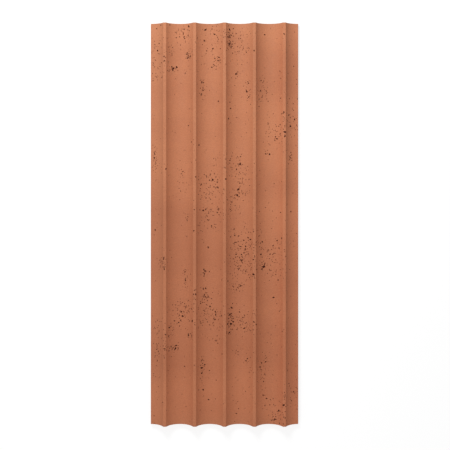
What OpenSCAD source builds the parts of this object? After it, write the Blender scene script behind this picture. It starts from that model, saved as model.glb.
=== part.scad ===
// Fluted concrete wall panel, cast in one piece.
// It lies on its flat back with the fluted face up: X runs across the flutes, Y runs along
// them, and Z points out of the face. The origin is the centre of the back face.

/* [Panel] */
// Length of the panel along its flutes
panel_length = 1200; // [400:10:2400]
// Thickness from the back face to the face of the ribs
panel_thickness = 40; // [34:0.5:70]
// Width left open for the joint between two panels
joint_gap = 2; // [0:0.5:6]

/* [Ribs and flutes] */
// Number of ribs, which is also the number of flute widths across the panel
rib_count = 5; // [2:1:12]
// Distance from the centre of one rib to the centre of the next
rib_pitch = 88.8; // [76:0.2:130]
// Width of a rib's flat face, measured between its corners before they are rounded
rib_width = 9; // [7:0.2:20]
// Depth of a flute below the face of the ribs
flute_depth = 25; // [12:0.5:27]

/* [Edges] */
// Radius of the rounding along both corners of every rib
arris_radius = 2; // [1:0.1:3]
// Leg of the 45 degree bevel round the edge of the fluted face
edge_bevel = 1; // [0.5:0.1:2]

/* [Hidden] */
$fn = 96;
// How far a cutter runs past the surface that it cuts
overrun = 1;

module_width = rib_count * rib_pitch;
panel_width = module_width - joint_gap;
web_thickness = panel_thickness - flute_depth;

// A flute is a round arc that meets the rib faces at its two ends.
half_chord = (rib_pitch - rib_width) / 2;
flute_radius = (half_chord ^ 2 + flute_depth ^ 2) / (2 * flute_depth);
flute_axis_z = web_thickness + flute_radius;

// The round on a rib's corner runs into the rib's face and the flute's wall. Its axis lies
// a hair nearer to both than its radius, so that the surfaces cross and leave no slivers.
arris_reach = arris_radius - 0.005;
arris_axis_z = panel_thickness - arris_reach;
arris_to_flute_x = sqrt((flute_radius + arris_reach) ^ 2 - (flute_axis_z - arris_axis_z) ^ 2);
arris_x = rib_pitch / 2 - arris_to_flute_x;

// Height of a flute's surface where the side edge of the panel cuts through it
side_height = flute_axis_z - sqrt(flute_radius ^ 2 - (joint_gap / 2) ^ 2);

function flute_x(i) = (i - rib_count / 2) * rib_pitch;
function rib_x(i) = (i - (rib_count - 1) / 2) * rib_pitch;

// Stands a shape drawn in the XY plane up in the XZ plane, so that its Z runs along Y.
module along_flutes() {
    rotate([90, 0, 0]) children();
}

// One round flute, flared at its ends to bevel the ends of the face.
module flute_cutter() {
    end = panel_length / 2;
    flare = edge_bevel + overrun;
    along_flutes()
        rotate_extrude()
            polygon([
                [0, -end - overrun],
                [flute_radius + flare, -end - overrun],
                [flute_radius, edge_bevel - end],
                [flute_radius, end - edge_bevel],
                [flute_radius + flare, end + overrun],
                [0, end + overrun]
            ]);
}

// What is cut off one corner of a rib, on its right side with side = 1: the wedge between
// the rib's face and the flute's wall, less the round that stays.
module arris_cutter(side) {
    along_flutes()
        linear_extrude(panel_length + 2 * overrun, center = true)
            difference() {
                polygon([
                    [side * arris_x, arris_axis_z],
                    [side * rib_pitch / 2, flute_axis_z],
                    [side * arris_x, flute_axis_z]
                ]);
                translate([side * arris_x, arris_axis_z]) circle(arris_radius);
            }
}

// Bevels where the two long side edges of the panel meet its face.
module side_bevels() {
    setback = edge_bevel * sin(45);
    reach = 4 * edge_bevel;
    for (side = [-1, 1])
        translate([side * panel_width / 2, 0, side_height])
            along_flutes()
                linear_extrude(panel_length + 2 * overrun, center = true)
                    rotate(-side * 45)
                        translate([-reach / 2, -setback])
                            square([reach, reach]);
}

// The slab before its flutes are cut, with the two ends of its face bevelled.
module blank() {
    end = panel_length / 2;
    rotate([90, 0, 90])
        linear_extrude(panel_width, center = true)
            polygon([
                [-end, 0],
                [end, 0],
                [end, panel_thickness - edge_bevel],
                [end - edge_bevel, panel_thickness],
                [edge_bevel - end, panel_thickness],
                [-end, panel_thickness - edge_bevel]
            ]);
}

module panel() {
    color("#BC7858")
        difference() {
            blank();
            for (i = [0 : rib_count])
                translate([flute_x(i), 0, flute_axis_z]) flute_cutter();
            for (i = [0 : rib_count - 1])
                for (side = [-1, 1])
                    translate([rib_x(i), 0, 0]) arris_cutter(side);
            side_bevels();
        }
}

panel();
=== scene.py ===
import math

import bpy
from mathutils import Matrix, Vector


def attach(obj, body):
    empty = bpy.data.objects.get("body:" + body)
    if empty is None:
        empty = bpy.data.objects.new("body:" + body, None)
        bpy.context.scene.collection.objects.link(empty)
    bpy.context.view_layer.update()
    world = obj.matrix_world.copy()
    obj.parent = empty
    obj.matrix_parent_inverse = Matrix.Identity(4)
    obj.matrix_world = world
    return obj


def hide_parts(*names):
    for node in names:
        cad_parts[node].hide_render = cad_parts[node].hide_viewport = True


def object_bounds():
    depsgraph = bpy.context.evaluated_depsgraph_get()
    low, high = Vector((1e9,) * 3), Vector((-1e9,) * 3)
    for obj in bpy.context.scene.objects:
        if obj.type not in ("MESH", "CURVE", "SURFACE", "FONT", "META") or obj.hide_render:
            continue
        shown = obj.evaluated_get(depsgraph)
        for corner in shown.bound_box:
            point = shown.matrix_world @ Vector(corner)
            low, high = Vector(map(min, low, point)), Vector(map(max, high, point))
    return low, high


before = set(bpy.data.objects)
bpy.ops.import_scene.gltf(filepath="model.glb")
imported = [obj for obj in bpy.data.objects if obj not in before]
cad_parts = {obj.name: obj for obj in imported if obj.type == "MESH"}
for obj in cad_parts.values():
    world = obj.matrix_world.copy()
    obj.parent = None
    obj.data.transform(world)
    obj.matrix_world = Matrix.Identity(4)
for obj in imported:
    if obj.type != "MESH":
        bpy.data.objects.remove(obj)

# A fluted wall panel, cast in brick-red pigmented concrete. It lies on its flat back:
# X runs across the flutes, Y along them, and Z out of the fluted face.

MM = 0.001
cad_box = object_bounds()
(west, south, back), (east, north, face) = cad_box
WIDTH, LENGTH, THICKNESS = east - west, north - south, face - back

# The section across the flutes.
RIB_COUNT = 5
RIB_PITCH = 88.8 * MM
RIB_WIDTH = 9 * MM
FLUTE_DEPTH = 25 * MM
ARRIS_RADIUS = 2 * MM  # the rounding of a rib's two corners
EDGE_ROUND = 1 * MM  # the rounding of the face's outer edge

# How finely it is drawn.
ARRIS_STEPS = 4  # faces over one arris
FLUTE_STEPS = 20  # faces over half a flute
LENGTH_STEPS = 24  # lengths that the run of the flutes is made in
SAME_POINT = 0.01 * MM  # points nearer to each other than this become one
CORNER_TURN = math.radians(60)  # an edge that turns more is a corner of the casting
SMOOTH_TURN = math.radians(28)  # an edge that turns more is shaded sharp

# Where air gathered against the mould: groups of open pores on the face. Each row gives
# the group's centre across and along the panel from its middle, how far it spreads each
# way, how many pores it holds and the radius of a usual one. All sizes are millimetres.
PORE_GROUPS = [
    (-125, 570, 22, 26, 29, 1.7),
    (-160, 515, 8, 24, 14, 1.5),
    (-106, 508, 10, 10, 18, 1.7),
    (-154, 464, 14, 7, 14, 2.0),
    (-201, 488, 12, 55, 31, 1.6),
    (-178, 482, 5, 34, 9, 1.4),
    (-40, 557, 38, 32, 39, 1.6),
    (-24, 490, 9, 15, 16, 1.6),
    (-67, 412, 6, 18, 19, 1.6),
    (16, 550, 8, 34, 42, 1.9),
    (55, 535, 30, 28, 35, 1.6),
    (37, 445, 4, 9, 6, 1.8),
    (71, 402, 7, 34, 18, 1.6),
    (117, 402, 14, 36, 30, 1.5),
    (196, 315, 22, 38, 32, 1.6),
    (156, 271, 24, 32, 32, 1.6),
    (-209, 191, 5, 34, 42, 1.4),
    (131, 207, 6, 14, 3, 1.8),
    (197, 201, 4, 12, 18, 1.5),
    (37, 142, 28, 64, 71, 1.7),
    (27, 50, 18, 26, 17, 1.5),
    (-43, 115, 32, 34, 54, 1.6),
    (-28, 191, 7, 15, 7, 1.6),
    (-118, 130, 15, 28, 7, 1.6),
    (-47, 34, 32, 42, 54, 1.6),
    (-108, 25, 7, 15, 8, 1.6),
    (-184, -113, 10, 18, 36, 1.5),
    (65, -94, 36, 64, 186, 1.6),
    (142, -94, 34, 62, 60, 1.6),
    (117, -127, 6, 8, 8, 2.1),
    (39, -188, 22, 12, 19, 1.6),
    (-56, -142, 9, 9, 9, 2.0),
    (-117, -165, 4, 24, 18, 1.5),
    (-136, -233, 22, 16, 10, 1.7),
    (-53, -218, 16, 22, 36, 1.6),
    (-89, -207, 4, 18, 15, 1.4),
    (-125, -263, 22, 26, 42, 1.7),
    (-160, -318, 8, 24, 13, 1.5),
    (-106, -325, 10, 10, 8, 1.7),
    (-154, -369, 14, 7, 14, 2.0),
    (-201, -345, 12, 55, 31, 1.6),
    (-178, -351, 5, 34, 16, 1.4),
    (-40, -276, 38, 32, 56, 1.6),
    (-24, -343, 9, 15, 10, 1.6),
    (-67, -421, 6, 18, 21, 1.6),
    (16, -283, 8, 34, 45, 1.9),
    (55, -298, 30, 28, 54, 1.6),
    (37, -388, 4, 9, 4, 1.8),
    (71, -431, 7, 34, 10, 1.6),
    (117, -431, 14, 36, 21, 1.5),
    (196, -518, 22, 38, 27, 1.6),
    (156, -562, 24, 32, 39, 1.6),
]

# Loose pores between the groups.
STRAY_PORES = 780.0  # in a square metre
STRAY_RADIUS = 1.4 * MM  # of a usual one


def linear(code):
    """An sRGB hex colour as the linear values that a shader takes."""
    channels = [int(code[i:i + 2], 16) / 255 for i in (1, 3, 5)]
    channels = [c / 12.92 if c <= 0.04045 else ((c + 0.055) / 1.055) ** 2.4 for c in channels]
    return channels + [1.0]


def node(tree, kind, inputs=None, **settings):
    """Adds a node with its settings. An input takes a value, or a node or socket to link."""
    made = tree.nodes.new(kind)
    for name, value in settings.items():
        setattr(made, name, value)
    for name, value in (inputs or {}).items():
        socket = made.inputs[name]
        if isinstance(name, str):
            socket = next(s for s in made.inputs if s.name == name and s.enabled)
        for source in value if isinstance(value, list) else [value]:
            if isinstance(source, bpy.types.Node):
                source = next(s for s in source.outputs if s.enabled)
            if isinstance(source, bpy.types.NodeSocket):
                tree.links.new(source, socket)
            else:
                socket.default_value = value
    return made


def new_tree(name, sockets):
    """An empty Geometry Nodes tree with the named inputs, and the sockets that give them."""
    tree = bpy.data.node_groups.new(name, "GeometryNodeTree")
    for label, kind in sockets.items():
        tree.interface.new_socket(label, in_out="INPUT", socket_type=kind)
    tree.interface.new_socket("Geometry", in_out="OUTPUT", socket_type="NodeSocketGeometry")
    return tree, node(tree, "NodeGroupInput").outputs


def add_tree(piece, tree, values):
    """Puts a tree on a piece as a modifier and sets its inputs."""
    modifier = piece.modifiers.new(tree.name, "NODES")
    modifier.node_group = tree
    for item in tree.interface.items_tree:
        if item.in_out == "INPUT" and item.name in values:
            modifier[item.identifier] = values[item.name]


MATH = "ShaderNodeMath"


def fluted_slab_tree():
    """The bare casting. One rib with half a flute on each side is drawn from the arcs of
    its section, repeated across the panel, trimmed to width, closed down to the flat back
    and run out to the panel's length."""
    tree, size = new_tree("fluted slab", {
        "Geometry": "NodeSocketGeometry",
        "Length": "NodeSocketFloat",
        "Width": "NodeSocketFloat",
        "Thickness": "NodeSocketFloat",
        "Rib Count": "NodeSocketInt",
        "Rib Pitch": "NodeSocketFloat",
        "Rib Width": "NodeSocketFloat",
        "Flute Depth": "NodeSocketFloat",
        "Arris Radius": "NodeSocketFloat",
        "Arris Steps": "NodeSocketInt",
        "Flute Steps": "NodeSocketInt",
        "Length Steps": "NodeSocketInt",
        "Material": "NodeSocketMaterial",
    })
    # The flute's arc meets the rib faces at the ends of its chord.
    half_pitch = node(tree, MATH, {0: size["Rib Pitch"], 1: 2.0}, operation="DIVIDE")
    half_rib = node(tree, MATH, {0: size["Rib Width"], 1: 2.0}, operation="DIVIDE")
    half_chord = node(tree, MATH, {0: half_pitch, 1: half_rib}, operation="SUBTRACT")
    chord_part = node(tree, MATH, {0: half_chord, 1: half_chord}, operation="MULTIPLY")
    two_depths = node(tree, MATH, {0: size["Flute Depth"], 1: 2.0}, operation="MULTIPLY")
    chord_part = node(tree, MATH, {0: chord_part, 1: two_depths}, operation="DIVIDE")
    half_depth = node(tree, MATH, {0: size["Flute Depth"], 1: 2.0}, operation="DIVIDE")
    flute_radius = node(tree, MATH, {0: chord_part, 1: half_depth}, operation="ADD")
    web = node(tree, MATH, {0: size["Thickness"], 1: size["Flute Depth"]},
               operation="SUBTRACT")
    flute_z = node(tree, MATH, {0: web, 1: flute_radius}, operation="ADD")
    # The arris is a small arc that touches the rib's face and the flute's wall.
    arris_z = node(tree, MATH, {0: size["Thickness"], 1: size["Arris Radius"]},
                   operation="SUBTRACT")
    reach = node(tree, MATH, {0: flute_radius, 1: size["Arris Radius"]}, operation="ADD")
    rise = node(tree, MATH, {0: flute_z, 1: arris_z}, operation="SUBTRACT")
    cosine = node(tree, MATH, {0: rise, 1: reach}, operation="DIVIDE")
    wall_angle = node(tree, MATH, {0: cosine}, operation="ARCCOSINE")
    sine = node(tree, MATH, {0: wall_angle}, operation="SINE")
    arris_to_flute = node(tree, MATH, {0: reach, 1: sine}, operation="MULTIPLY")
    arris_x = node(tree, MATH, {0: half_pitch, 1: arris_to_flute}, operation="SUBTRACT")

    # Points run from one flute's bottom over the rib to the next flute's bottom. Their
    # step counts away from the middle of the rib on both sides.
    steps = node(tree, MATH, {0: size["Arris Steps"], 1: size["Flute Steps"]}, operation="ADD")
    middle = node(tree, MATH, {0: steps, 1: 0.5}, operation="ADD")
    from_middle = node(tree, MATH, {0: node(tree, "GeometryNodeInputIndex"), 1: middle},
                       operation="SUBTRACT")
    side = node(tree, MATH, {0: from_middle}, operation="SIGN")
    step = node(tree, MATH, {0: from_middle}, operation="ABSOLUTE")
    step = node(tree, MATH, {0: step, 1: 0.5}, operation="SUBTRACT")
    on_arris = node(tree, "FunctionNodeCompare", {"A": step, "B": size["Arris Steps"]},
                    operation="LESS_THAN")
    arris_share = node(tree, MATH, {0: step, 1: size["Arris Steps"]}, operation="DIVIDE")
    flute_step = node(tree, MATH, {0: steps, 1: step}, operation="SUBTRACT")
    flute_share = node(tree, MATH, {0: flute_step, 1: size["Flute Steps"]}, operation="DIVIDE")
    share = node(tree, "GeometryNodeSwitch",
                 {"Switch": on_arris, "False": flute_share, "True": arris_share},
                 input_type="FLOAT")
    turn = node(tree, MATH, {0: share, 1: wall_angle}, operation="MULTIPLY")
    hollow = node(tree, MATH, {0: flute_radius, 1: -1.0}, operation="MULTIPLY")
    radius = node(tree, "GeometryNodeSwitch",
                  {"Switch": on_arris, "False": hollow, "True": size["Arris Radius"]},
                  input_type="FLOAT")
    centre_x = node(tree, "GeometryNodeSwitch",
                    {"Switch": on_arris, "False": half_pitch, "True": arris_x},
                    input_type="FLOAT")
    centre_z = node(tree, "GeometryNodeSwitch",
                    {"Switch": on_arris, "False": flute_z, "True": arris_z},
                    input_type="FLOAT")
    x = node(tree, MATH, {0: turn}, operation="SINE")
    x = node(tree, MATH, {0: radius, 1: x, 2: centre_x}, operation="MULTIPLY_ADD")
    x = node(tree, MATH, {0: x, 1: side}, operation="MULTIPLY")
    z = node(tree, MATH, {0: turn}, operation="COSINE")
    z = node(tree, MATH, {0: radius, 1: z, 2: centre_z}, operation="MULTIPLY_ADD")
    count = node(tree, MATH, {0: middle, 1: 2.0, 2: 1.0}, operation="MULTIPLY_ADD")
    rib = node(tree, "GeometryNodeSetPosition", {
        "Geometry": node(tree, "GeometryNodeMeshLine", {"Count": count}),
        "Position": node(tree, "ShaderNodeCombineXYZ", {"X": x, "Z": z}),
    })

    # The ribs, one pitch apart.
    pitches = node(tree, MATH, {0: size["Rib Count"], 1: 1.0}, operation="SUBTRACT")
    first = node(tree, MATH, {0: pitches, 1: half_pitch}, operation="MULTIPLY")
    first = node(tree, MATH, {0: first, 1: -1.0}, operation="MULTIPLY")
    places = node(tree, "GeometryNodeMeshLine", {
        "Count": size["Rib Count"],
        "Start Location": node(tree, "ShaderNodeCombineXYZ", {"X": first}),
        "Offset": node(tree, "ShaderNodeCombineXYZ", {"X": size["Rib Pitch"]}),
    })
    ribs = node(tree, "GeometryNodeInstanceOnPoints", {"Points": places, "Instance": rib})
    ribs = node(tree, "GeometryNodeRealizeInstances", {"Geometry": ribs})
    ribs = node(tree, "GeometryNodeMergeByDistance",
                {"Geometry": ribs, "Distance": SAME_POINT})

    # Trim to the width, and put the section at the lower end of the panel.
    here = node(tree, "ShaderNodeSeparateXYZ",
                {0: node(tree, "GeometryNodeInputPosition")}).outputs
    half_width = node(tree, MATH, {0: size["Width"], 1: 2.0}, operation="DIVIDE")
    trim = node(tree, MATH, {0: half_width, 1: -1.0}, operation="MULTIPLY")
    trimmed = node(tree, MATH, {0: here["X"], 1: half_width}, operation="MINIMUM")
    trimmed = node(tree, MATH, {0: trimmed, 1: trim}, operation="MAXIMUM")
    end = node(tree, MATH, {0: size["Length"], 1: -0.5}, operation="MULTIPLY")
    outline = node(tree, "GeometryNodeSetPosition", {
        "Geometry": ribs,
        "Position": node(tree, "ShaderNodeCombineXYZ",
                         {"X": trimmed, "Y": end, "Z": here["Z"]}),
    })

    # Drop the outline's edges to the back, and run that section along the panel.
    dropped = node(tree, "GeometryNodeExtrudeMesh", {"Mesh": outline, "Offset Scale": 0.0},
                   mode="EDGES").outputs
    section = node(tree, "GeometryNodeSetPosition", {
        "Geometry": dropped["Mesh"],
        "Selection": dropped["Top"],
        "Position": node(tree, "ShaderNodeCombineXYZ", {"X": here["X"], "Y": here["Y"]}),
    })

    # The run is made in short lengths, so that the pores leave no long thin faces.
    stride = node(tree, MATH, {0: size["Length"], 1: size["Length Steps"]}, operation="DIVIDE")
    start = node(tree, "GeometryNodeRepeatInput")
    run = node(tree, "GeometryNodeRepeatOutput")
    start.pair_with_output(run)
    run.repeat_items.clear()
    run.repeat_items.new("GEOMETRY", "Run")
    run.repeat_items.new("BOOLEAN", "Front")
    tree.links.new(size["Length Steps"], start.inputs["Iterations"])
    tree.links.new(section.outputs[0], start.inputs["Run"])
    start.inputs["Front"].default_value = True
    lengthened = node(tree, "GeometryNodeExtrudeMesh", {
        "Mesh": start.outputs["Run"],
        "Selection": start.outputs["Front"],
        "Offset": node(tree, "ShaderNodeCombineXYZ", {"Y": stride}),
        "Offset Scale": 1.0,
        "Individual": False,
    }, mode="FACES").outputs
    tree.links.new(lengthened["Mesh"], run.inputs["Run"])
    tree.links.new(lengthened["Top"], run.inputs["Front"])
    sides = node(tree, "GeometryNodeFlipFaces", {"Mesh": run.outputs["Run"]})
    slab = node(tree, "GeometryNodeJoinGeometry", {"Geometry": [section, sides]})
    slab = node(tree, "GeometryNodeMergeByDistance",
                {"Geometry": slab, "Distance": SAME_POINT})

    # Mark the outer edge of the face for its rounding: corners well above the back.
    ends = node(tree, "GeometryNodeInputMeshEdgeVertices").outputs
    lowest = node(tree, MATH, {
        0: node(tree, "ShaderNodeSeparateXYZ", {0: ends["Position 1"]}).outputs["Z"],
        1: node(tree, "ShaderNodeSeparateXYZ", {0: ends["Position 2"]}).outputs["Z"],
    }, operation="MINIMUM")
    half_web = node(tree, MATH, {0: web, 1: 2.0}, operation="DIVIDE")
    above = node(tree, "FunctionNodeCompare", {"A": lowest, "B": half_web},
                 operation="GREATER_THAN")
    sharp = node(tree, "FunctionNodeCompare",
                 {"A": node(tree, "GeometryNodeInputMeshEdgeAngle"), "B": CORNER_TURN},
                 operation="GREATER_THAN")
    outer = node(tree, "FunctionNodeBooleanMath", {0: above, 1: sharp}, operation="AND")
    slab = node(tree, "GeometryNodeStoreNamedAttribute",
                {"Geometry": slab, "Name": "bevel_weight_edge", "Value": outer},
                data_type="FLOAT", domain="EDGE")
    slab = node(tree, "GeometryNodeRealizeInstances", {"Geometry": slab})
    slab = node(tree, "GeometryNodeSetMaterial",
                {"Geometry": slab, "Material": size["Material"]})
    node(tree, "NodeGroupOutput", {"Geometry": slab})
    return tree


# The hollow that a pore leaves.
LUMPS = 6  # shapes of hollow to pick from
LARGE_PORE = 1.65 * MM  # the radius from which a hollow has more faces
DENTS = 1.3  # how strongly a lump is dented
SUNK = 0.25  # how far below the face a lump's middle lies, in radii
SMALLEST = 0.9  # a pore's least radius, as a share of its group's
GROWTH = 1.15  # what the largest has on top of that
RARITY = 10.0  # the higher, the fewer large ones
POROUS_REACH = 20 * MM  # pin holes grow larger within this distance of a group's pores
FLOATED_SHUT = 3 * MM  # no pore lies nearer to the back than this


def air_pores_tree():
    """Air pores in the casting. Every group is filled with points at random, stray points
    fall between them, and each becomes a lumpy hollow cut out of the casting."""
    tree, size = new_tree("air pores", {
        "Geometry": "NodeSocketGeometry",
        "Groups": "NodeSocketObject",
        "Stray Pores": "NodeSocketFloat",
        "Stray Radius": "NodeSocketFloat",
        "Seed": "NodeSocketInt",
        "Material": "NodeSocketMaterial",
    })
    # Points of the groups, spread more thickly towards the middle of each.
    groups = node(tree, "GeometryNodeObjectInfo",
                  {"Object": size["Groups"]}).outputs["Geometry"]
    number = node(tree, "GeometryNodeInputNamedAttribute", {"Name": "number"}, data_type="INT")
    points = node(tree, "GeometryNodeDuplicateElements",
                  {"Geometry": groups, "Amount": number}, domain="POINT")
    spread = node(tree, "GeometryNodeInputNamedAttribute", {"Name": "spread"},
                  data_type="FLOAT_VECTOR")
    throw = node(tree, "FunctionNodeRandomValue",
                 {"Min": (-1, -1, 0), "Max": (1, 1, 0), "Seed": size["Seed"]},
                 data_type="FLOAT_VECTOR")
    seed_2 = node(tree, MATH, {0: size["Seed"], 1: 1.0}, operation="ADD")
    throw_2 = node(tree, "FunctionNodeRandomValue",
                   {"Min": (-0.5, -0.5, 0), "Max": (0.5, 0.5, 0), "Seed": seed_2},
                   data_type="FLOAT_VECTOR")
    throw = node(tree, "ShaderNodeVectorMath", {0: throw, 1: throw_2}, operation="ADD")
    throw = node(tree, "ShaderNodeVectorMath", {0: throw, 1: spread}, operation="MULTIPLY")
    points = node(tree, "GeometryNodeSetPosition", {"Geometry": points, "Offset": throw})

    # Drop the groups' points onto the face.
    lift = node(tree, "ShaderNodeVectorMath",
                {0: node(tree, "GeometryNodeInputPosition"), 1: (0, 0, 1)}, operation="ADD")
    hit = node(tree, "GeometryNodeRaycast", {
        "Target Geometry": size["Geometry"],
        "Source Position": lift,
        "Ray Direction": (0, 0, -1),
        "Ray Length": 2.0,
    }).outputs
    points = node(tree, "GeometryNodeStoreNamedAttribute",
                  {"Geometry": points, "Name": "outward", "Value": hit["Hit Normal"]},
                  data_type="FLOAT_VECTOR", domain="POINT")
    points = node(tree, "GeometryNodeStoreNamedAttribute",
                  {"Geometry": points, "Name": "cast side", "Value": hit["Is Hit"]},
                  data_type="BOOLEAN", domain="POINT")
    grouped = node(tree, "GeometryNodeSetPosition",
                   {"Geometry": points, "Position": hit["Hit Position"]})

    # Small stray pores on every side that lay against the mould, which the back did not.
    strays = node(tree, "GeometryNodeDistributePointsOnFaces", {
        "Mesh": size["Geometry"],
        "Density": size["Stray Pores"],
        "Seed": size["Seed"],
    }).outputs
    here = node(tree, "ShaderNodeSeparateXYZ", {0: node(tree, "GeometryNodeInputPosition")})
    off_back = node(tree, "FunctionNodeCompare", {"A": here.outputs["Z"], "B": FLOATED_SHUT},
                    operation="GREATER_THAN")
    stray = strays["Points"]
    for name, kind, value in (
        ("outward", "FLOAT_VECTOR", strays["Normal"]),
        ("cast side", "BOOLEAN", off_back),
        ("radius", "FLOAT", size["Stray Radius"]),
    ):
        stray = node(tree, "GeometryNodeStoreNamedAttribute",
                     {"Geometry": stray, "Name": name, "Value": value},
                     data_type=kind, domain="POINT")
    points = node(tree, "GeometryNodeJoinGeometry", {"Geometry": [stray, grouped]})

    # Stand a lump on every point, turned and stretched at random, most of it in the
    # concrete. Most are a little under the usual radius, and a few are twice it.
    outward = node(tree, "GeometryNodeInputNamedAttribute", {"Name": "outward"},
                   data_type="FLOAT_VECTOR")
    radius = node(tree, "GeometryNodeInputNamedAttribute", {"Name": "radius"},
                  data_type="FLOAT")
    seed_3 = node(tree, MATH, {0: size["Seed"], 1: 2.0}, operation="ADD")
    chance = node(tree, "FunctionNodeRandomValue", {"Seed": seed_3}, data_type="FLOAT")
    chance = node(tree, MATH, {0: chance, 1: RARITY}, operation="POWER")
    growth = node(tree, MATH, {0: chance, 1: GROWTH, 2: SMALLEST}, operation="MULTIPLY_ADD")
    radius = node(tree, MATH, {0: radius, 1: growth}, operation="MULTIPLY")
    seed_4 = node(tree, MATH, {0: size["Seed"], 1: 3.0}, operation="ADD")
    stretch = node(tree, "FunctionNodeRandomValue",
                   {"Min": (0.9, 0.7, 0.8), "Max": (1.5, 0.95, 1.2), "Seed": seed_4},
                   data_type="FLOAT_VECTOR")
    scale = node(tree, "ShaderNodeVectorMath", {0: stretch, "Scale": radius},
                 operation="SCALE")
    seed_5 = node(tree, MATH, {0: size["Seed"], 1: 4.0}, operation="ADD")
    spin = node(tree, "FunctionNodeRandomValue",
                {"Min": -math.pi, "Max": math.pi, "Seed": seed_5}, data_type="FLOAT")
    upright = node(tree, "FunctionNodeAlignRotationToVector", {"Vector": outward}, axis="Z")
    spin = node(tree, "FunctionNodeAxisAngleToRotation", {"Angle": spin})
    turned = node(tree, "FunctionNodeRotateRotation", {"Rotation": upright, "Rotate By": spin},
                  rotation_space="LOCAL")
    seed_6 = node(tree, MATH, {0: size["Seed"], 1: 5.0}, operation="ADD")
    pick = node(tree, "FunctionNodeRandomValue", {"Min": 0, "Max": LUMPS - 1, "Seed": seed_6},
                data_type="INT")
    sink = node(tree, MATH, {0: radius, 1: -SUNK}, operation="MULTIPLY")
    sink = node(tree, "ShaderNodeVectorMath", {0: outward, "Scale": sink}, operation="SCALE")
    points = node(tree, "GeometryNodeSetPosition", {"Geometry": points, "Offset": sink})
    cast_side = node(tree, "GeometryNodeInputNamedAttribute", {"Name": "cast side"},
                     data_type="BOOLEAN")

    # The lumps are balls, each with its own dents: one set for the small pores, and one
    # with more faces for the large ones.
    index = node(tree, "GeometryNodeInputIndex")
    lump = node(tree, "GeometryNodeInputNamedAttribute", {"Name": "lump"}, data_type="INT")
    dents = node(tree, "ShaderNodeTexNoise", {
        "W": node(tree, MATH, {0: lump, 1: 3.7}, operation="MULTIPLY"),
        "Scale": 0.9,
        "Detail": 1.0,
    }, noise_dimensions="4D").outputs["Color"]
    dents = node(tree, "ShaderNodeVectorMath", {0: dents, 1: (-0.5, -0.5, -0.5)},
                 operation="ADD")
    dents = node(tree, "ShaderNodeVectorMath", {0: dents, 1: (DENTS, DENTS, DENTS)},
                 operation="MULTIPLY")
    pores = []
    for subdivisions, comparison in ((1, "LESS_THAN"), (2, "GREATER_EQUAL")):
        balls = node(tree, "GeometryNodeInstanceOnPoints", {
            "Points": node(tree, "GeometryNodeMeshLine",
                           {"Count": LUMPS, "Offset": (0, 0, 0)}),
            "Instance": node(tree, "GeometryNodeMeshIcoSphere",
                             {"Radius": 1.0, "Subdivisions": subdivisions}),
        })
        balls = node(tree, "GeometryNodeStoreNamedAttribute",
                     {"Geometry": balls, "Name": "lump", "Value": index},
                     data_type="INT", domain="INSTANCE")
        balls = node(tree, "GeometryNodeRealizeInstances", {"Geometry": balls})
        lumps = node(tree, "GeometryNodeSetPosition", {"Geometry": balls, "Offset": dents})
        lumps = node(tree, "GeometryNodeStoreNamedAttribute",
                     {"Geometry": lumps, "Name": "pore", "Value": 1.0},
                     data_type="FLOAT", domain="FACE")
        lumps = node(tree, "GeometryNodeSplitToInstances",
                     {"Geometry": lumps, "Group ID": lump}, domain="POINT")
        of_size = node(tree, "FunctionNodeCompare", {"A": radius, "B": LARGE_PORE},
                       operation=comparison)
        pores.append(node(tree, "GeometryNodeInstanceOnPoints", {
            "Points": points,
            "Selection": node(tree, "FunctionNodeBooleanMath", {0: cast_side, 1: of_size},
                              operation="AND"),
            "Instance": lumps,
            "Pick Instance": True,
            "Instance Index": pick,
            "Rotation": turned,
            "Scale": scale,
        }))
    cast = node(tree, "GeometryNodeMeshBoolean", {"Mesh 1": size["Geometry"], "Mesh 2": pores},
                operation="DIFFERENCE", solver="EXACT")

    # Smooth everywhere but over the sharp edges and round the rims of the pores, where an
    # edge has a pore's wall on one side only.
    sharp = node(tree, "FunctionNodeCompare",
                 {"A": node(tree, "GeometryNodeInputMeshEdgeAngle"), "B": SMOOTH_TURN},
                 operation="GREATER_THAN")
    uncut = node(tree, "GeometryNodeSetShadeSmooth",
                 {"Geometry": size["Geometry"], "Selection": sharp, "Shade Smooth": False},
                 domain="EDGE")
    in_pore = node(tree, "GeometryNodeInputNamedAttribute", {"Name": "pore"},
                   data_type="FLOAT")
    in_pore = node(tree, "GeometryNodeFieldOnDomain", {"Value": in_pore}, domain="FACE",
                   data_type="FLOAT")
    rim = node(tree, "FunctionNodeCompare", {"A": in_pore, "B": 0.5, "Epsilon": 0.2},
               operation="EQUAL")
    sharp = node(tree, "FunctionNodeBooleanMath", {0: sharp, 1: rim}, operation="OR")
    cast = node(tree, "GeometryNodeSetShadeSmooth", {"Geometry": cast, "Shade Smooth": True})
    cast = node(tree, "GeometryNodeSetShadeSmooth",
                {"Geometry": cast, "Selection": sharp, "Shade Smooth": False}, domain="EDGE")

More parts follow.
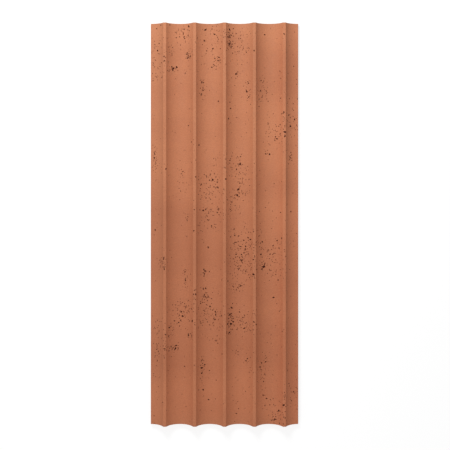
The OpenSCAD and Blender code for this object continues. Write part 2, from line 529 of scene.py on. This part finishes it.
    # Between the pores every corner takes the normal that the casting had there before it
    # was cut, looked up a little towards the middle of its face, so that no rim bends the
    # shade of the flutes.
    corner = node(tree, "GeometryNodeInputPosition")
    face_middle = node(tree, "GeometryNodeFieldOnDomain", {"Value": corner}, domain="FACE",
                       data_type="FLOAT_VECTOR")
    inward = node(tree, "ShaderNodeMix", {"Factor": 0.02, "A": corner, "B": face_middle},
                  data_type="VECTOR")
    normal = node(tree, "GeometryNodeInputNormal").outputs["Normal"]
    uncut_normal = node(tree, "GeometryNodeSampleNearestSurface",
                        {"Mesh": uncut, "Value": normal, "Sample Position": inward},
                        data_type="FLOAT_VECTOR").outputs["Value"]
    on_wall = node(tree, "FunctionNodeCompare", {"A": in_pore, "B": 0.5},
                   operation="GREATER_THAN")
    normal = node(tree, "GeometryNodeSwitch",
                  {"Switch": on_wall, "False": uncut_normal, "True": normal},
                  input_type="VECTOR")
    cast = node(tree, "GeometryNodeSetMeshNormal", {"Mesh": cast, "Custom Normal": normal},
                mode="FREE", domain="CORNER")

    # How near each point of the casting lies to a grouped pore, for the pin holes.
    nearest = node(tree, "GeometryNodeProximity", {"Geometry": grouped},
                   target_element="POINTS").outputs["Distance"]
    porous = node(tree, "ShaderNodeMapRange", {
        "Value": nearest, "From Min": 0.0, "From Max": POROUS_REACH,
        "To Min": 1.0, "To Max": 0.0,
    })
    cast = node(tree, "GeometryNodeStoreNamedAttribute",
                {"Geometry": cast, "Name": "porous", "Value": porous},
                data_type="FLOAT", domain="POINT")
    for name in ("lump", "bevel_weight_edge"):
        cast = node(tree, "GeometryNodeRemoveAttribute", {"Geometry": cast, "Name": name})
    cast = node(tree, "GeometryNodeRealizeInstances", {"Geometry": cast})
    cast = node(tree, "GeometryNodeSetMaterial",
                {"Geometry": cast, "Material": size["Material"]})
    node(tree, "NodeGroupOutput", {"Geometry": cast})
    return tree


def cast_concrete():
    """Pigmented architectural concrete, cast face down in a smooth mould: brick red right
    through and quite matt. The pigment lies in faint wide clouds, the sand shows through
    the skin as a fine grain, pin holes and open pores are given a near-black painted shade
    within, and the back, floated by hand, is paler and rougher."""
    material = bpy.data.materials.new("brick_red_cast_concrete")
    material.use_nodes = True
    tree = material.node_tree
    shader = tree.nodes["Principled BSDF"]
    place = node(tree, "ShaderNodeTexCoord").outputs["Object"]
    here = node(tree, "ShaderNodeSeparateXYZ", {"Vector": place})

    # Clouds of pigment, about 300 mm across the panel and 150 mm along it, one for each
    # scoop that went into the mould.
    scoops = node(tree, "ShaderNodeMapping",
                  {"Vector": place, "Scale": (1 / (300 * MM), 1 / (150 * MM), 0)})
    clouds = node(tree, "ShaderNodeTexNoise",
                  {"Vector": scoops, "W": 223.5, "Scale": 1.0, "Detail": 1.5},
                  noise_dimensions="4D")
    clouds = node(tree, "ShaderNodeMapRange",
                  {"Value": clouds, "From Min": 0.3, "From Max": 0.7}, clamp=False)
    # Blotches of 20 mm, where water bled to the mould.
    blotches = node(tree, "ShaderNodeTexNoise",
                    {"Vector": place, "Scale": 1 / (20 * MM), "Detail": 3.0, "Roughness": 0.6})
    # Sand grains are about 1 mm, drawn here at 3 mm so that they show.
    sand = node(tree, "ShaderNodeTexNoise",
                {"Vector": place, "Scale": 1 / (3 * MM), "Detail": 2.0, "Roughness": 0.7})
    # The blotches and the sand both lie round one half. They are added to the clouds in
    # such a way that the whole gets no paler.
    blotch_share, sand_share = 0.6, 2.7
    middle = (blotch_share + sand_share) / 2
    tone = node(tree, MATH, {0: blotches, 1: blotch_share, 2: clouds},
                operation="MULTIPLY_ADD")
    tone = node(tree, MATH, {0: sand, 1: sand_share, 2: tone}, operation="MULTIPLY_ADD")
    tone = node(tree, MATH, {0: tone, 1: middle}, operation="SUBTRACT")
    # Towards the upper end, nearer the softbox, the colour turns a little paler and less red:
    # a painted sheen.
    painted_sheen_ramp = node(tree, "ShaderNodeMapRange", {"Value": here.outputs["Y"], "From Min": south,
                                             "From Max": north})
    dark = node(tree, "ShaderNodeMix", {"Factor": painted_sheen_ramp, "A": linear("#B56D4A"),
                                        "B": linear("#B47250")}, data_type="RGBA")
    pale = node(tree, "ShaderNodeMix", {"Factor": painted_sheen_ramp, "A": linear("#C57A54"),
                                        "B": linear("#C4805A")}, data_type="RGBA")
    colour = node(tree, "ShaderNodeMix", {"Factor": tone, "A": dark.outputs[2],
                                          "B": pale.outputs[2]}, data_type="RGBA")
    # The strip beyond the last rib is tinted a little redder: painted shade, the warm hue of
    # the shade it lies in.
    painted_shade_strip = node(tree, "ShaderNodeMapRange",
                      {"Value": here.outputs["X"], "From Min": 140 * MM, "From Max": 190 * MM})
    colour = node(tree, "ShaderNodeMix", {"Factor": painted_shade_strip, "A": colour,
                                          "B": (1.06, 1.0, 0.985, 1.0)},
                  data_type="RGBA", blend_type="MULTIPLY")

    # Pin holes of up to 3 mm, in cells of 10 mm. They are larger round the groups of open
    # pores.
    porous = node(tree, "ShaderNodeAttribute", attribute_name="porous").outputs["Fac"]
    cells = node(tree, "ShaderNodeTexVoronoi", {"Vector": place, "Scale": 1 / (10 * MM)})
    hole_size = node(tree, "ShaderNodeMapRange",
                     {"Value": porous, "To Min": 0.07, "To Max": 0.16})
    hole_floor = node(tree, MATH, {0: hole_size, 1: 0.6}, operation="MULTIPLY")
    hole = node(tree, "ShaderNodeMapRange", {"Value": cells.outputs["Distance"],
                                             "From Min": hole_floor, "From Max": hole_size,
                                             "To Min": 1.0, "To Max": 0.0},
                interpolation_type="SMOOTHSTEP")

    # The walls of the holes and the open pores take a near-black brown: painted shade, for the
    # dark deep in them.
    pore = node(tree, "ShaderNodeAttribute", attribute_name="pore").outputs["Fac"]
    painted_pore_shade = node(tree, MATH, {0: pore, 1: hole}, operation="MAXIMUM")
    colour = node(tree, "ShaderNodeMix",
                  {"Factor": painted_pore_shade, "A": colour, "B": linear("#5C240A")}, data_type="RGBA")

    # The floated back: a paler skin of laitance with the drag marks of the float, about
    # 20 mm apart and 90 mm long, in curved sweeps.
    back_skin = node(tree, "ShaderNodeMapRange", {
        "Value": here.outputs["Z"], "From Min": 0.1 * MM, "From Max": 0.8 * MM,
        "To Min": 1.0, "To Max": 0.0,
    })
    sweep = node(tree, "ShaderNodeTexNoise",
                 {"Vector": place, "Scale": 1 / (220 * MM), "Detail": 0.0}).outputs["Color"]
    sweep = node(tree, "ShaderNodeVectorMath",
                 {0: sweep, 1: (200 * MM, 200 * MM, 0), 2: place}, operation="MULTIPLY_ADD")
    strokes = node(tree, "ShaderNodeMapping", {"Vector": sweep, "Rotation": (0, 0, 0.4),
                                               "Scale": (1 / (90 * MM), 1 / (20 * MM), 0)})
    drag = node(tree, "ShaderNodeTexNoise", {"Vector": strokes, "Scale": 1.0, "Detail": 3.0,
                                             "Roughness": 0.5, "Distortion": 0.6})
    skin = node(tree, MATH, {0: sand, 1: 0.8, 2: drag}, operation="MULTIPLY_ADD")
    skin = node(tree, MATH, {0: skin, 1: 0.4}, operation="SUBTRACT")
    float_colour = node(tree, "ShaderNodeMix", {"Factor": skin, "A": linear("#B37458"),
                                                "B": linear("#CB9678")}, data_type="RGBA")
    colour = node(tree, "ShaderNodeMix", {"Factor": back_skin, "A": colour, "B": float_colour},
                  data_type="RGBA")
    tree.links.new(colour.outputs[2], shader.inputs["Base Color"])

    # Matt, a little less so where the skin is dense and dark.
    roughness = node(tree, "ShaderNodeMapRange", {
        "Value": blotches, "From Min": 0.3, "From Max": 0.7, "To Min": 0.75, "To Max": 0.87,
    })
    tree.links.new(roughness.outputs[0], shader.inputs["Roughness"])

    # Relief in metres: slow ripples of the mould's film, sand, pin holes and float marks.
    ripple = node(tree, "ShaderNodeTexNoise",
                  {"Vector": place, "Scale": 1 / (35 * MM), "Detail": 1.0})
    relief = node(tree, MATH, {0: ripple, 1: 0.3 * MM}, operation="MULTIPLY")
    relief = node(tree, MATH, {0: sand, 1: 0.12 * MM, 2: relief}, operation="MULTIPLY_ADD")
    relief = node(tree, MATH, {0: hole, 1: -0.8 * MM, 2: relief}, operation="MULTIPLY_ADD")
    marks = node(tree, MATH, {0: drag, 1: back_skin}, operation="MULTIPLY")
    relief = node(tree, MATH, {0: marks, 1: 1.2 * MM, 2: relief}, operation="MULTIPLY_ADD")
    bump = node(tree, "ShaderNodeBump", {"Height": relief, "Distance": 1.0})
    tree.links.new(bump.outputs[0], shader.inputs["Normal"])
    return material


def panel_piece():
    """The whole panel: the casting, the rounding of its outer edge and its air pores."""
    groups = bpy.data.meshes.new("pore groups")
    groups.from_pydata([(x * MM, y * MM, 0) for x, y, *_ in PORE_GROUPS], [], [])
    groups.attributes.new("number", "INT", "POINT").data.foreach_set(
        "value", [row[4] for row in PORE_GROUPS])
    groups.attributes.new("spread", "FLOAT_VECTOR", "POINT").data.foreach_set(
        "vector", [v for row in PORE_GROUPS for v in (row[2] * MM, row[3] * MM, 0)])
    groups.attributes.new("radius", "FLOAT", "POINT").data.foreach_set(
        "value", [row[5] * MM for row in PORE_GROUPS])
    groups = bpy.data.objects.new("pore groups", groups)
    bpy.context.collection.objects.link(groups)

    piece = bpy.data.objects.new("cast_panel", bpy.data.meshes.new("cast_panel"))
    bpy.context.collection.objects.link(piece)
    concrete = cast_concrete()
    add_tree(piece, fluted_slab_tree(), {
        "Length": LENGTH, "Width": WIDTH, "Thickness": THICKNESS,
        "Rib Count": RIB_COUNT, "Rib Pitch": RIB_PITCH, "Rib Width": RIB_WIDTH,
        "Flute Depth": FLUTE_DEPTH, "Arris Radius": ARRIS_RADIUS,
        "Arris Steps": ARRIS_STEPS, "Flute Steps": FLUTE_STEPS, "Length Steps": LENGTH_STEPS,
        "Material": concrete,
    })
    rounding = piece.modifiers.new("edge round", "BEVEL")
    rounding.limit_method = "WEIGHT"
    rounding.width = EDGE_ROUND
    rounding.segments = 2
    add_tree(piece, air_pores_tree(), {
        "Groups": groups, "Stray Pores": STRAY_PORES, "Stray Radius": STRAY_RADIUS,
        "Seed": 7, "Material": concrete,
    })
    evaluated = piece.evaluated_get(bpy.context.evaluated_depsgraph_get())
    mesh = bpy.data.meshes.new_from_object(evaluated)
    piece.modifiers.clear()
    piece.data = mesh
    mesh.name = "cast_panel"
    bpy.data.objects.remove(groups)
    return piece


panel = panel_piece()
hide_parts("panel")
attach(panel, "root")


def background_rays(tree):
    """One for a ray that sees the background, straight, in a gloss or through a glass, and
    nought for a ray that brings its light to the panel."""
    ray = node(tree, "ShaderNodeLightPath").outputs
    seen = node(tree, MATH, {0: ray["Is Camera Ray"], 1: ray["Is Glossy Ray"]},
                operation="ADD")
    return node(tree, MATH, {0: seen, 1: ray["Is Transmission Ray"]}, operation="ADD",
                use_clamp=True)


FLOOR_REACH = 8.0  # from the middle of the floor to its edges
FLOOR_LIFT = 0.77  # what the paint needs on top of its own light to be seen as white


def floor_paint():
    """Matt paint on the studio floor, a mid grey, so that it throws little light up at the
    panel's sides. What is seen of it is lifted to white, and the panel's shadow stays."""
    material = bpy.data.materials.new("matt_studio_floor_paint")
    material.use_nodes = True
    tree = material.node_tree
    shader = tree.nodes["Principled BSDF"]
    shader.inputs["Base Color"].default_value = linear("#999999")
    shader.inputs["Roughness"].default_value = 1.0
    shader.inputs["Specular IOR Level"].default_value = 0.0
    seen = background_rays(tree)
    lift = node(tree, MATH, {0: seen, 1: FLOOR_LIFT}, operation="MULTIPLY")
    shader.inputs["Emission Color"].default_value = (1, 1, 1, 1)
    tree.links.new(lift.outputs[0], shader.inputs["Emission Strength"])
    return material


floor_mesh = bpy.data.meshes.new("floor")
corners = [(-FLOOR_REACH, -FLOOR_REACH, 0), (FLOOR_REACH, -FLOOR_REACH, 0),
           (FLOOR_REACH, FLOOR_REACH, 0), (-FLOOR_REACH, FLOOR_REACH, 0)]
floor_mesh.from_pydata(corners, [], [(0, 1, 2, 3)])
floor_mesh.materials.append(floor_paint())
floor = bpy.data.objects.new("floor", floor_mesh)
bpy.context.collection.objects.link(floor)

# A soft lamp above the panel's upper end, a little to the left, which leaves the wall on
# the right of each rib in shade, and a weak one low beyond the lower end.
for name, place, aim, energy in (
    ("softbox", (-0.45, 1.2, 1.4), (0.0, 0.1, 0.0), 19.3),
    ("fill", (-0.5, -1.7, 1.2), (0.0, -0.3, 0.0), 4.4),
):
    lamp = bpy.data.lights.new(name, "AREA")
    lamp.shape = "DISK"
    lamp.size = 0.6
    lamp.energy = energy
    lamp = bpy.data.objects.new(name, lamp)
    lamp.location = place
    lamp.rotation_euler = (Vector(aim) - lamp.location).to_track_quat("-Z", "Y").to_euler()
    bpy.context.collection.objects.link(lamp)

STUDIO_LIGHT = 0.46  # how much light comes from all round, where the white seen has 1.0
world = bpy.data.worlds.new("studio")
world.use_nodes = True
bpy.context.scene.world = world
background = world.node_tree.nodes["Background"]
strength = node(world.node_tree, MATH,
                {0: background_rays(world.node_tree), 1: 1 - STUDIO_LIGHT, 2: STUDIO_LIGHT},
                operation="MULTIPLY_ADD")
world.node_tree.links.new(strength.outputs[0], background.inputs["Strength"])
background.inputs["Color"].default_value = (1, 1, 1, 1)

# The camera looks straight down at the face, from two thirds of the way up the panel.
FRAME_WIDTH = 1.3347  # what the frame spans at the face of the ribs
FRAME_MIDDLE = (0.0014, -0.0010)  # where the frame's middle falls on that face
EYE_DISTANCE = 2.365  # from the face of the ribs
EYE_UP = 0.203  # from the frame's middle towards the panel's upper end
camera = bpy.data.cameras.new("camera")
camera.lens = camera.sensor_width * EYE_DISTANCE / FRAME_WIDTH
camera.shift_y = -EYE_UP / FRAME_WIDTH
camera = bpy.data.objects.new("camera", camera)
camera.location = (FRAME_MIDDLE[0], FRAME_MIDDLE[1] + EYE_UP, face + EYE_DISTANCE)
bpy.context.collection.objects.link(camera)
bpy.context.scene.camera = camera
bpy.context.scene.view_settings.view_transform = "Standard"
